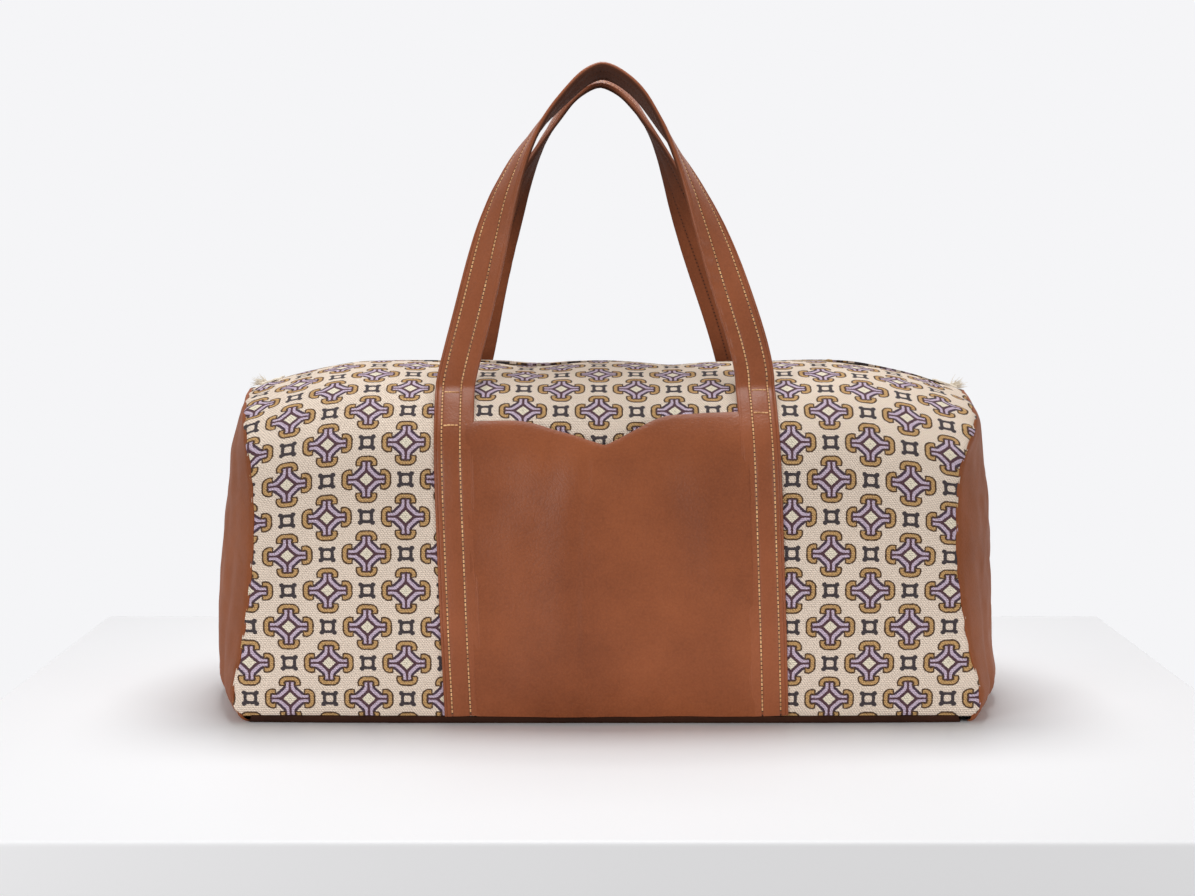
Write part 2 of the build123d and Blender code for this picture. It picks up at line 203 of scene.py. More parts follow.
def form(x, rise):
    """Point of the front face for a rise from -1 at the floor, through 0 at the widest, to 1 on the ridge."""
    up = max(0.0, rise)
    z = widest_height * (1 + rise) if rise < 0 else widest_height + (ridge(x) - widest_height) * up
    wall = wall_depth / 2 - corner_setback * (x / seam_waist) ** 4 - side_tuck_in * min(0.0, rise) ** 2
    return Vector((x, -wall * math.sqrt(max(0.0, 1 - up**shoulder_power)), z))


def distances(points):
    """Distance along a line of points, at each of them."""
    return np.concatenate([[0.0], np.cumsum([(after - before).length for before, after in pairwise(points)])])


shares = np.linspace(0, 1, 500)
low_rises = (base_seam_height / widest_height - 1) * (1 - shares[::8])
slot_share = (math.asin((1 - (slot_half_width / (wall_depth / 2)) ** 2) ** 0.5) * 2 / math.pi) ** 0.4
high_rises = np.sin(math.pi / 2 * (shares[1:] * slot_share) ** 2.5) ** 0.4
rises = np.concatenate([low_rises, high_rises])
runs = distances([form(0, rise) for rise in rises])
face_length = float(runs[-1])


@lru_cache(maxsize=None)
def rise_at(run):
    """Rise of the form at a distance up the cloth."""
    return float(np.interp(run, runs, rises))


def face(x, run):
    """Point of the front face at a distance up the cloth from the base seam."""
    if run < 0:
        return form(x, rises[0]) + Vector((0, 0, run))
    return form(x, rise_at(run))


def outward(x, run):
    """Outward normal of the front face."""
    side = face(x + 0.001, run) - face(x - 0.001, run)
    up = face(x, min(run + 0.001, face_length)) - face(x, run - 0.001)
    return side.cross(up).normalized()


def run_at(height, x=0.0):
    """Distance up the cloth at which the face reaches a height."""
    heights = [form(x, rise).z for rise in rises[::4]]
    return float(np.interp(height, heights, runs[::4]))


@lru_cache(maxsize=None)
def seam(run, x_side):
    """Point of the front's end seam at a distance up the cloth, as if on the right."""
    x = seam_waist
    for _ in range(8):
        x = seam_reach(face(x, run).z, x_side)
    return face(x, run)


ridge_dips = ((-0.045, 0.0034, 0.026), (0.047, 0.0022, 0.020))


def softness(x, run):
    """How far the stuffed cloth stands off the plain form: slow swells, and puckers along the end seams."""
    swell = 0.0012 * noise.noise(Vector((x * 14, run * 17, 3.1)))
    swell += 0.0006 * noise.noise(Vector((x * 34, run * 30, 7.7)))
    past_shoulder = max(0.0, run / face_length - 0.72) / 0.28
    slump = sum(depth * math.exp(-(((x - dip) / width) ** 2)) for dip, depth, width in ridge_dips)
    swell += past_shoulder * (0.0014 * noise.noise(Vector((x * 11, 0.4, 1.3))) - slump)
    edge = max(0.0, 1 - (0.2335 - abs(x)) / 0.028)
    pucker = 0.0005 * math.sin(run * 310 + 2 * noise.noise(Vector((run * 30, x, 0.2))))
    return swell + edge**2 * pucker


def on_front(x, run, height=0.0):
    """Point at a height off the canvas of the front face."""
    return face(x, run) + outward(x, run) * (height + softness(x, run))


def facing(point, side):
    """The same point on the front (side 1) or, turned half round, on the back (side -1)."""
    return Vector((point.x * side, point.y * side, point.z))


def laid(columns, rows, place, mark=None, thickness=0.0):
    """A sheet with each corner laid where place(u, v) says, marked by mark(u, v), and a wall behind it."""
    bm = bmesh.new()
    cloth = bm.loops.layers.uv.new("cloth")
    bmesh.ops.create_grid(bm, x_segments=columns, y_segments=rows, size=0.5)
    where = {corner: (corner.co.x + 0.5, corner.co.y + 0.5) for corner in bm.verts}
    for cell in bm.faces:
        for loop in cell.loops:
            u, v = where[loop.vert]
            loop[cloth].uv = mark(u, v) if mark else (u, v)
    for corner, (u, v) in where.items():
        corner.co = place(u, v)
    bm.normal_update()
    if thickness:
        bmesh.ops.solidify(bm, geom=bm.faces[:], thickness=thickness)
    return bm


def canvas_place(u, v, side):
    """Corner of the canvas: its end edges turn in at the seams."""
    run = v * face_length
    reach = seam(run, side if u > 0.5 else -side).x
    x = (2 * u - 1) * reach
    turn = max(0.0, 1 - (reach - abs(x)) / seam_turn)
    foot = max(0.0, 1 - run / seam_turn)
    drop = seam_turn_depth * (turn**2 + 0.6 * foot**2)
    return facing(on_front(x, run, -drop), side)


# The print repeats every 50 mm along the bag, a little wider towards the ends where the cloth is pulled, and
# every 48.4 mm up the cloth.
repeat_along, repeat_up = 0.050, 0.0484
repeat_centre = -0.0039
repeat_row = 0.1087


def canvas_mark(u, v, side):
    """Place in the print, in repeats."""
    run = v * face_length
    x = (2 * u - 1) * seam(run, side if u > 0.5 else -side).x
    along = (x - repeat_centre) / repeat_along
    return (along - 0.0009 * along**3, (run - repeat_row) / repeat_up)


def group(name, outputs):
    """A shader group that reads one vector and gives these outputs."""
    made = bpy.data.node_groups.new(name, "ShaderNodeTree")
    made.interface.new_socket("Vector", in_out="INPUT", socket_type="NodeSocketVector")
    for output, kind in outputs.items():
        made.interface.new_socket(output, in_out="OUTPUT", socket_type="NodeSocket" + kind)
    start = made.nodes.new("NodeGroupInput")
    return made, start.outputs["Vector"], made.nodes.new("NodeGroupOutput")


def calc(tree, operation, *values, clamp=False):
    """Result of one sum."""
    return add(tree, "Math", enumerate(values), operation=operation, use_clamp=clamp).outputs[0]


def within(tree, distance, limit, blur):
    """Mask that is 1 where a distance is under a limit, with a soft edge."""
    return calc(tree, "MULTIPLY_ADD", distance, -1 / blur, limit / blur + 0.5, clamp=True)


def paint(tree, mask, under, over):
    """One colour laid over another through a mask."""
    made = add(tree, "Mix", {0: mask, 6: under, 7: over}, data_type="RGBA")
    return made.outputs[2]


def emboss(tree, shader, height, distance, strength):
    """Fine relief on a shader."""
    bump = add(tree, "Bump", {"Height": height, "Distance": distance, "Strength": strength})
    tree.links.new(bump.outputs[0], shader.inputs["Normal"])


def printed_ornament():
    """The print, in millimetres: four-armed rosettes with looped caps, and small knobbed squares."""
    made, place, end = group("printed_ornament", {"Color": "Color"})
    repeat = 49.5
    blur = 0.35
    star_span, arm_half_width = 8.4, 1.55
    outline, band_half_width = 2.85, 1.05
    arm_end, band_end = 12.4, 11.3
    cap_centre, cap_flat, cap_radius = 10.8, 2.1, 2.9
    loop_outline, loop_half_width = 2.1, 1.05
    heart, dot = 4.2, 0.7
    square_half, square_hole, knob_centre, knob_radius = 4.35, 2.25, 3.9, 1.55
    rough = add(made, "TexNoise", {"Vector": place, "Scale": 42.0, "Detail": 1.0})
    centred = add(made, "VectorMath", {0: rough.outputs["Color"], 1: (-0.5, -0.5, -0.5)}, operation="ADD")
    shake = add(made, "VectorMath", {0: centred.outputs[0], "Scale": 0.016}, operation="SCALE")
    moved = add(made, "VectorMath", {0: place, 1: shake.outputs[0]}, operation="ADD")
    parts = add(made, "SeparateXYZ", {0: moved.outputs[0]}).outputs
    across, up = (calc(made, "PINGPONG", parts[i], 0.5) for i in (0, 1))
    other = calc(made, "GREATER_THAN", calc(made, "ADD", across, up), 0.5)
    half = calc(made, "MULTIPLY", other, 0.5)

    def offset(part, middle):
        return calc(made, "MULTIPLY", calc(made, "ABSOLUTE", calc(made, "SUBTRACT", part, middle)), repeat)

    def under(distance, limit):
        return within(made, distance, limit, blur)

    def beyond(distance, limit):
        return calc(made, "SUBTRACT", 1.0, under(distance, limit))

    def both(first, second):
        return calc(made, "MULTIPLY", first, second)

    def length(parts, power):
        total = calc(made, "ADD", *(calc(made, "POWER", part, power) for part in parts))
        return calc(made, "POWER", total, 1 / power)

    arm = [offset(part, half) for part in (across, up)]
    long, short = calc(made, "MAXIMUM", *arm), calc(made, "MINIMUM", *arm)
    total = calc(made, "ADD", long, short)
    slant = calc(made, "MULTIPLY", calc(made, "SUBTRACT", total, star_span), 0.7071)
    arm_line = calc(made, "MULTIPLY", calc(made, "SUBTRACT", short, arm_half_width), 1.3)
    star = calc(made, "SMOOTH_MIN", slant, arm_line, 1.8)
    band = calc(made, "ABSOLUTE", star)
    past_flat = calc(made, "MAXIMUM", calc(made, "SUBTRACT", short, cap_flat), 0.0)
    ring = length((calc(made, "ABSOLUTE", calc(made, "SUBTRACT", long, cap_centre)), past_flat), 2.0)
    loop = calc(made, "ABSOLUTE", calc(made, "SUBTRACT", ring, cap_radius))
    swap = calc(made, "GREATER_THAN", across, up)
    stay = calc(made, "SUBTRACT", 1.0, swap)
    box = [offset(part, calc(made, "MULTIPLY", turn, 0.5)) for part, turn in ((across, swap), (up, stay))]
    box_long = calc(made, "MAXIMUM", *box)
    knob = length([calc(made, "ABSOLUTE", calc(made, "SUBTRACT", part, knob_centre)) for part in box], 2.0)
    square = calc(made, "MAXIMUM", under(box_long, square_half), under(knob, knob_radius))

    thread = add(made, "TexNoise", {"Vector": place, "Scale": 90.0, "Detail": 2.0}).outputs["Fac"]
    stitch = calc(made, "MULTIPLY_ADD", thread, 2.2, -0.6, clamp=True)
    ground = paint(made, stitch, tint(246, 222, 200), tint(255, 240, 224))
    plum = paint(made, stitch, tint(58, 42, 54), tint(98, 78, 92))
    maroon = paint(made, stitch, tint(72, 46, 54), tint(112, 80, 88))
    brown = paint(made, stitch, tint(52, 36, 26), tint(106, 76, 52))
    ochre = paint(made, stitch, tint(172, 122, 66), tint(240, 200, 142))
    lilac = paint(made, stitch, tint(182, 156, 186), tint(246, 228, 242))
    cream = paint(made, stitch, tint(250, 232, 202), tint(255, 250, 232))
    charcoal = paint(made, stitch, tint(52, 46, 50), tint(92, 82, 84))
    layers = (
        (square, charcoal),
        (under(length(box, 4.0), square_hole), ground),
        (both(under(star, outline), under(long, arm_end)), plum),
        (both(under(ring, cap_radius), beyond(long, 8.4)), plum),
        (both(under(loop, loop_outline), beyond(long, 8.6)), brown),
        (both(under(loop, loop_half_width), beyond(long, 9.5)), ochre),
        (both(under(star, -0.9), under(long, arm_end)), maroon),
        (both(under(band, band_half_width), under(long, band_end)), lilac),
        (under(total, heart), cream),
        (both(under(total, dot), 0.25), maroon),
    )
    colour = ground
    for mask, printed in layers:
        colour = paint(made, mask, colour, printed)
    made.links.new(colour, end.inputs["Color"])
    return made


def coarse_weave():
    """The canvas weave: rows of short slanted floats, each row half a step along from the last."""
    made, place, end = group("coarse_weave", {"Height": "Float"})
    rows_up, floats_along = 39.0, 29.0
    parts = add(made, "SeparateXYZ", {0: place}).outputs
    row = calc(made, "MULTIPLY", parts[1], rows_up)
    number = calc(made, "FLOOR", row)
    step = calc(made, "MULTIPLY_ADD", parts[0], floats_along, calc(made, "MULTIPLY", number, 0.5))
    lean = calc(made, "MULTIPLY", calc(made, "FRACT", row), 0.35)
    float_part = calc(made, "MULTIPLY", calc(made, "PINGPONG", calc(made, "ADD", step, lean), 0.5), 2.0)
    row_part = calc(made, "MULTIPLY", calc(made, "PINGPONG", row, 0.5), 2.0)
    height = calc(made, "POWER", calc(made, "MULTIPLY", float_part, row_part), 0.5)
    made.links.new(height, end.inputs["Height"])
    return made


canvas, tree, shader = material("printed_canvas")
cloth_place = add(tree, "UVMap", uv_map="cloth").outputs[0]
ornament = add(tree, "Group", node_tree=printed_ornament())
weave = add(tree, "Group", node_tree=coarse_weave())
for used in (ornament, weave):
    tree.links.new(cloth_place, used.inputs["Vector"])
place = add(tree, "TexCoord").outputs["Object"]
soil = add(tree, "TexNoise", {"Vector": place, "Scale": 9.0, "Detail": 3.0})
# Painted shade: the print's colour is darkened between the weave's floats and rows, following the weave
# height, and a slow noise adds a random change of tone.
weave_gap_shade = calc(tree, "MULTIPLY_ADD", weave.outputs["Height"], 0.8, 0.5, clamp=True)
shade = calc(tree, "MULTIPLY_ADD", soil.outputs["Fac"], 0.12, weave_gap_shade, clamp=True)
woven = add(tree, "Mix", {0: 1.0, 6: ornament.outputs["Color"]}, data_type="RGBA", blend_type="MULTIPLY")
tree.links.new(shade, woven.inputs[7])
tree.links.new(woven.outputs[2], shader.inputs["Base Color"])
shader.inputs["Roughness"].default_value = 0.88
shader.inputs["Specular IOR Level"].default_value = 0.25
emboss(tree, shader, weave.outputs["Height"], 0.0006, 1.0)

for name, node, side in (("front_canvas", "front_panel", 1), ("back_canvas", "back_panel", -1)):
    place, mark = partial(canvas_place, side=side), partial(canvas_mark, side=side)
    bm = laid(canvas_columns, canvas_rows, place, mark, -canvas_thickness)
    panel = piece(name, bm, canvas)
    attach(panel, "bag")
    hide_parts(node)

# Leather ends: soft cognac leather, pillowed out by the filling between the front seam and the back one, and
# creased low down where the filling settles. The right one is fuller half way up, the left one flatter above.

end_bulge, end_bulge_height, end_bulge_span = 0.034, 0.095, 0.118
least_bulge = 0.0022
foot_bulge = 0.014
foot_height, foot_depth = 0.0003, 0.006
foot_tuck = {1: 0.002, -1: 0.008}
end_rows, end_columns = 100, 90
foot_share = 0.06
leather_thickness = 0.0012
pad_heights = (0.0, 0.0125, 0.036, 0.060, 0.084, 0.108, 0.132, 0.156, 0.180, 0.203, 0.215)
pad_changes = {
    1: (0.003, -0.002, -0.0050, -0.003, 0.002, 0.005, 0.005, 0.0014, -0.0013, -0.0060, -0.0070),
    -1: (-0.003, -0.006, -0.0045, -0.001, 0.0014, 0.0014, 0.0007, -0.0014, -0.0035, -0.0035, -0.0030),
}
pads = {x_side: np.poly1d(np.polyfit(pad_heights, changes, 6)) for x_side, changes in pad_changes.items()}


def end_swell(z, x_side):
    """How far the pillow of an end stands out past its seams."""
    plain = end_bulge * (1 - (abs(z - end_bulge_height) / end_bulge_span) ** 4)
    return max(least_bulge, plain + float(pads[x_side](z)))


def end_place(u, v, x_side):
    """Corner of an end: round from the front seam to the back one, and from its turned-in foot to the zip."""
    across = 2 * u - 1
    if v < foot_share:
        up = v / foot_share * math.pi / 2
        top = seam(0.0, x_side)
        low = Vector((top.x - foot_tuck[x_side], top.y + foot_depth, foot_height))
        corner = low.lerp(top, math.sin(up))
        corner.z = foot_height + (top.z - foot_height) * (1 - math.cos(up))
        bulge = foot_bulge + (end_swell(top.z, x_side) - foot_bulge) * math.sin(up)
    else:
        corner = seam((v - foot_share) / (1 - foot_share) * face_length, x_side)
        bulge = end_swell(corner.z, x_side)
    stuffing = 1 - across * across
    low_part = max(0.0, 1 - corner.z / 0.13)
    crease = 0.0030 * noise.noise(Vector((across * 2.3, corner.z * 22, 5.2 * x_side)))
    crease -= 0.0055 * low_part * math.exp(-(((abs(across) - 0.62 - 0.9 * corner.z) / 0.08) ** 2))
    crease += 0.0012 * noise.noise(Vector((across * 9, corner.z * 60, 2.1 * x_side)))
    crease *= min(1.0, abs(corner.y) / 0.07) ** 2
    edge = max(0.0, 1 - (1 - abs(across)) / 0.035)
    pucker = 0.0003 * math.sin(corner.z * 420 + 3 * noise.noise(Vector((corner.z * 40, x_side, 0.7))))
    pucker *= max(0.0, 1 - (1 - abs(across)) / 0.16) ** 2 * (1 - edge)
    x = corner.x + bulge * stuffing + crease * stuffing + pucker - 0.0012 * edge**2
    return Vector((x * x_side, -corner.y * across * x_side, corner.z))


def leather_surface():
    """Leather: fine pebbles, short creases across them, and slow changes of tone."""
    made, place, end = group("leather_surface", {"Height": "Float", "Tone": "Float", "Polish": "Float"})
    bend = add(made, "TexNoise", {"Vector": place, "Scale": 300.0, "Detail": 1.0})
    scale = (0.0012, 0.0012, 0.0012)
    moved = add(made, "VectorMath", {0: bend.outputs["Color"], 1: scale, 2: place}, operation="MULTIPLY_ADD")
    pebbles = add(made, "TexVoronoi", {"Vector": moved.outputs[0], "Scale": 700.0}, feature="SMOOTH_F1")
    small = add(made, "TexNoise", {"Vector": place, "Scale": 1500.0, "Detail": 2.0})
    slow = add(made, "TexNoise", {"Vector": place, "Scale": 60.0, "Detail": 3.0, "Distortion": 0.6})
    height = calc(made, "MULTIPLY_ADD", pebbles.outputs["Distance"], -0.9, small.outputs["Fac"])
    height = calc(made, "MULTIPLY_ADD", slow.outputs["Fac"], 1.2, height)
    cloud = add(made, "TexNoise", {"Vector": place, "Scale": 11.0, "Detail": 5.0, "Roughness": 0.6})
    tone = calc(made, "MULTIPLY_ADD", cloud.outputs["Fac"], 1.9, -0.45, clamp=True)
    # Painted shade: the tone is a little darker between the pebbles, where the grain's crevices lie in shade;
    # the cloud noise above is a random change of tone.
    speck = calc(made, "MULTIPLY_ADD", pebbles.outputs["Distance"], -0.35, 0.14)
    tone = calc(made, "ADD", tone, speck, clamp=True)
    polish = calc(made, "MULTIPLY_ADD", slow.outputs["Fac"], 0.20, 0.32)
    for output, value in (("Height", height), ("Tone", tone), ("Polish", polish)):
        made.links.new(value, end.inputs[output])
    return made


surface = leather_surface()


def leather(name, dark, light, polish=0.0, grain=0.5, gloss=0.27):
    """A leather of the bag, between two tones."""
    made, tree, shader = material(name)
    used = add(tree, "Group", {"Vector": add(tree, "TexCoord").outputs["Object"]}, node_tree=surface)
    tree.links.new(paint(tree, used.outputs["Tone"], dark, light), shader.inputs["Base Color"])
    tree.links.new(calc(tree, "ADD", used.outputs["Polish"], polish), shader.inputs["Roughness"])
    emboss(tree, shader, used.outputs["Height"], 0.0003, grain)
    shader.inputs["Specular IOR Level"].default_value = gloss
    return made, tree, shader


end_leather = leather("end_leather", tint(120, 64, 32), tint(154, 88, 52), polish=0.14, gloss=0.14)[0]
for name, node, side in (("right_end", "right_end_panel", 1), ("left_end", "left_end_panel", -1)):
    bm = laid(end_columns, end_rows, partial(end_place, x_side=side), thickness=-leather_thickness)
    end_piece = piece(name + "_leather", bm, end_leather)
    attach(end_piece, "bag")
    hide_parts(node)

# Base: a leather oblong, its long edges turned up 5 mm to meet the canvas, its ends bowed out under the
# pillows of the leather ends.

base_half_length = 0.233
base_edge_radius = 0.0046
base_end_bow = 0.0118
turn_share = 0.12


def base_place(u, v):
    """Corner of the base: across from the front edge under the bag to the back one."""
    across = 2 * v - 1
    bow = base_end_bow * (1 - across * across)
    x = (2 * u - 1) * (base_half_length + bow)
    depth = -form(min(max(x, -base_half_length), base_half_length), rises[0]).y
    turned = max(0.0, (abs(across) - (1 - turn_share)) / turn_share)
    flat = (depth - base_edge_radius) * min(1.0, abs(across) / (1 - turn_share))
    angle = turned * math.pi / 2
    y = flat + base_edge_radius * math.sin(angle)
    z = base_edge_radius * (1 - math.cos(angle)) + 0.0004 * turned
    return Vector((x, math.copysign(y, across), z))


# Painted shade: the base leather's tones are far darker than the other leathers, standing in for the shade on
# this downward-facing strip.
base_leather_painted_shade = leather("base_leather_painted_shade", tint(40, 22, 14), tint(64, 36, 24), polish=0.2, gloss=0.1)[0]
base = piece("base_leather_painted_shade", laid(120, 60, base_place, thickness=0.0014), base_leather_painted_shade)
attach(base, "bag")
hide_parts("bottom_panel")

# Slip pocket: a leather panel on the front, its foot in the base seam and its sides under the straps, its
# mouth cut in a shallow V. It bellies off the canvas and has one soft upright crease.

strap_spacing = 0.200
strap_width = 0.0265
strap_lean = 0.008
root_height = 0.216
pocket_half = strap_spacing / 2 - strap_width / 2
pocket_tuck = 0.005
pocket_height = 0.0017
pocket_foot = base_seam_height + 0.0006
pocket_belly_depth, pocket_belly_rise = 0.006, 0.095
mouth_left, notch_height, mouth_right = 0.1965, 0.1805, 0.198
left_bend, right_bend = -0.054, 0.034
mouth_slopes = (0.2963, 0.4605, 0.085)
mouth_corner, notch_corner = 0.006, 0.003
pocket_dents = ((-0.068, 0.150, 0.020, -0.2), (0.070, 0.120, 0.034, 0.3))
dent_depth, dent_half_width = 0.0030, 0.020
pocket_columns, pocket_rows = 130, 120


def strap_middle(side, z):
    """Middle of a strap at height z."""
    return side * strap_spacing / 2 + strap_lean * (1 - z / root_height)


def ease(first, second, reach):
    """The smaller of two values, rounded over where they cross."""
    near = max(reach - abs(first - second), 0.0) / reach
    return min(first, second) - near**3 * reach / 6


def mouth_height(x):
    """Height of the pocket's mouth: level, down into the notch, up again and on."""
    down, up, on = mouth_slopes
    left = ease(mouth_left, mouth_left - (x - left_bend) * down, mouth_corner)
    right = ease(notch_height + x * up, mouth_right + (x - right_bend) * on, mouth_corner)
    return -ease(-left, -right, notch_corner)


def pocket_belly(x, z):
    """How far the pocket stands off the canvas."""
    across = max(0.0, 1 - ((x - strap_middle(0, z)) / pocket_half) ** 2)
    up = min(1.0, max(0.0, (z - base_seam_height) / pocket_belly_rise))
    belly = pocket_belly_depth * across**1.5 * math.sin(math.pi / 2 * up)
    off_crease = x + 0.0215 - 0.004 * noise.noise(Vector((0.3, z * 9, 2.0)))
    crease = 0.0017 * math.exp(-((off_crease / 0.012) ** 2))
    crease *= math.sin(math.pi * min(1.0, z / 0.21)) ** 0.5
    valley = 0.0005 * math.exp(-(((off_crease - 0.009) / 0.003) ** 2))
    slack = 0.0024 * noise.noise(Vector((x * 16, z * 10, 9.4)))
    slack += 0.0010 * noise.noise(Vector((x * 45, z * 24, 1.4)))
    for dent_x, dent_z, half_height, tilt in pocket_dents:
        aside, above = (x - dent_x) / dent_half_width, (z - dent_z + tilt * (x - dent_x)) / half_height
        slack -= dent_depth * math.exp(-(aside**2) - above**2)
    return belly + across**0.5 * (crease - valley + slack)


def pocket_place(u, v):
    """Corner of the pocket."""
    across = (2 * u - 1) * (pocket_half + pocket_tuck)
    mouth_x = across + strap_middle(0, mouth_height(across))
    z = pocket_foot + (mouth_height(mouth_x) - pocket_foot) * v
    x = across + strap_middle(0, z)
    rolled = 0.0006 * max(0.0, 1 - (1 - v) / 0.012) ** 2
    return on_front(x, run_at(z, x), pocket_height + pocket_belly(x, z) - rolled)


bm = laid(pocket_columns, pocket_rows, pocket_place, thickness=-0.0016)
cognac = leather("cognac_leather", tint(112, 56, 28), tint(152, 84, 48))[0]
pocket = piece("pocket_leather", bm, cognac)
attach(pocket, "bag")
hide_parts("front_pocket")

# Handles: one long leather band on each face, sewn down from the base seam to the shoulder, free as a loop
# that twists a quarter turn up each leg, and sewn down again. Two rows of stitches hold its folded edges,
# and short rows across the top of each sewn stretch take the load.

band_width = 0.0262
band_thickness, loop_thickness = 0.0032, 0.0040
edge_radius = 0.0012
row_outer, row_inner = 0.0052, 0.0172
sunk_lines = ((0.0019, 0.0006), (row_outer, 0.0005), (row_inner, 0.0005), (band_width - 0.0016, 0.0004))
sunk_width = 0.00045
seat_gap = 0.0001
root_lift = 0.0024
handle_half = strap_spacing / 2
pivot = Vector((0, -0.0783685, 0.220982))
apex_y, apex_height = -0.0135, 0.433
lean = math.atan2(apex_y - pivot.y, apex_height - pivot.z)
loop_up = Vector((0, math.sin(lean), math.cos(lean)))
loop_front = Vector((0, -math.cos(lean), math.sin(lean)))
loop_height = (apex_height - pivot.z) / math.cos(lean)
twist_shares = {-1: (0.18, 0.94), 1: (0.15, 0.88)}
band_step = 0.003
root_run = run_at(root_height, handle_half)

# The legs lean a little off the plain curve, each in its own way, and the back loop has slumped lower. A side
# is 1 for the front or -1 for the back; a leg is -1 for the left or 1 for the right, seen from that side.
leg_heights = (0.221, 0.240, 0.262, 0.284, 0.306, 0.328, 0.350, 0.371, 0.393, 0.413)
leg_shifts = {
    (1, -1): (0.0006, 0.0027, 0.0037, 0.0035, 0.0024, 0.0002, -0.0017, -0.0034, -0.0022, -0.0004),
    (1, 1): (0.0, -0.0004, -0.0018, -0.0032, -0.0044, -0.0041, -0.0039, -0.0031, -0.0032, -0.0010),
    (-1, -1): (0.0025, 0.0052, 0.0081, 0.0096, 0.0118, 0.0125, 0.0109, 0.0094, 0.0074, 0.0060),
    (-1, 1): (-0.0025, -0.0052, -0.0052, -0.0044, -0.0042, -0.0030, -0.0022, -0.0028, -0.0008, 0.0),
}
leg_curves = {leg: np.poly1d(np.polyfit(leg_heights, shifts, 5)) for leg, shifts in leg_shifts.items()}
apex_shifts = {1: -0.0014, -1: 0.0030}
apex_drops = {1: 0.0003, -1: 0.0055}
arch_root, arch_power = 0.62, 1.4


def smooth(share):
    """An S curve from 0 to 1."""
    share = min(1.0, max(0.0, share))
    return share * share * (3 - 2 * share)


def loop_point(turn, side):
    """Point of a loop's middle line, from 0 at the left root to 1 at the right."""
    across = math.cos(math.pi * turn)
    rise = (1 - abs(across) ** (1 / arch_root)) ** (1 / arch_power)
    point = pivot + loop_up * (loop_height * rise - apex_drops[side] * rise**3)
    near_apex = smooth((rise - 0.86) / 0.14)
    shift = float(leg_curves[side, -1 if turn < 0.5 else 1](point.z))
    point.x = -handle_half * across + shift * (1 - near_apex) + apex_shifts[side] * near_apex
    return point


Station = namedtuple("Station", "point way out thickness free")


def sewn_point(side, leg, run):
    """Point on the cloth under the middle of a sewn stretch, at a distance up the cloth."""
    z = face(handle_half, run).z
    return face(strap_middle(leg, z) + leg_shifts[side, leg][0] * (z / root_height) ** 4, run)


def sewn_station(side, leg, run):
    """Station of a sewn stretch, where no share of the band is free."""
    point = sewn_point(side, leg, run)
    ahead = (sewn_point(side, leg, run + 0.001) - sewn_point(side, leg, run - 0.001)).normalized() * -leg
    out = outward(point.x, run)
    lift = seat_gap + band_thickness / 2 + root_lift * smooth((run - (root_run - 0.03)) / 0.026)
    return Station(point + out * (lift + softness(point.x, run)), ahead.cross(out), out, band_thickness, 0.0)


def band_stations(side):
    """Stations along a whole band, from its left foot over the loop to its right one."""
    places = np.linspace(0, 1, 2001)
    loop_runs = distances([loop_point(turn, side) for turn in places])
    sewn_runs = np.linspace(0.0008, root_run - 0.004, int(root_run / band_step))
    stations = [sewn_station(side, -1, float(run)) for run in sewn_runs]
    steps = int(loop_runs[-1] / band_step)
    for i in range(steps + 1):
        share = i / steps
        turn = float(np.interp(share * loop_runs[-1], loop_runs, places))
        ahead = loop_point(min(1.0, turn + 0.002), side) - loop_point(max(0.0, turn - 0.002), side)
        ahead.normalize()
        free = 1 - abs(2 * share - 1)
        start, end = twist_shares[-1 if share < 0.5 else 1]
        twist = math.pi / 2 * smooth((free - start) / (end - start))
        way = ahead.cross(loop_front).normalized() * math.cos(twist) + loop_front * math.sin(twist)
        out = way.cross(ahead).normalized()
        stations.append(Station(loop_point(turn, side), way, out, loop_thickness, free))
    stations += [sewn_station(side, 1, float(run)) for run in reversed(sewn_runs)]
    for _ in range(3):
        eased = []
        for before, here, after in zip(stations, stations[1:], stations[2:]):
            way = (before.way + 2 * here.way + after.way).normalized()
            out = (before.out + 2 * here.out + after.out).normalized()
            thickness = (before.thickness + 2 * here.thickness + after.thickness) / 4
            eased.append(Station(here.point, way, out, thickness, here.free))
        stations[1:-1] = eased
    return stations


def band_relief(across):
    """How far the band's face stands off its plain thickness: crowned, and sunk at its folds and stitches."""
    crown = 0.0004 * math.sin(math.pi * min(1.0, max(0.0, (across - row_outer) / (row_inner - row_outer))))
    return crown - sum(depth * math.exp(-(((across - line) / sunk_width) ** 2)) for line, depth in sunk_lines)


def handling(across, run, side, free):
    """Small creases of handled leather, and slanted wrinkles low on the right leg's inner margin."""
    crease = 0.00028 * noise.noise(Vector((across * 160, run * 70, side * 3.0)))
    crease += 0.00055 * noise.noise(Vector((across * 40, run * 24, side * 8.0)))
    if 0.04 < free < 0.62:
        low_right = smooth((run - 0.60) / 0.04) * smooth((across - row_inner) / 0.003)
        crease += 0.0005 * low_right * math.sin(run * 520 + across * 420)
    return crease


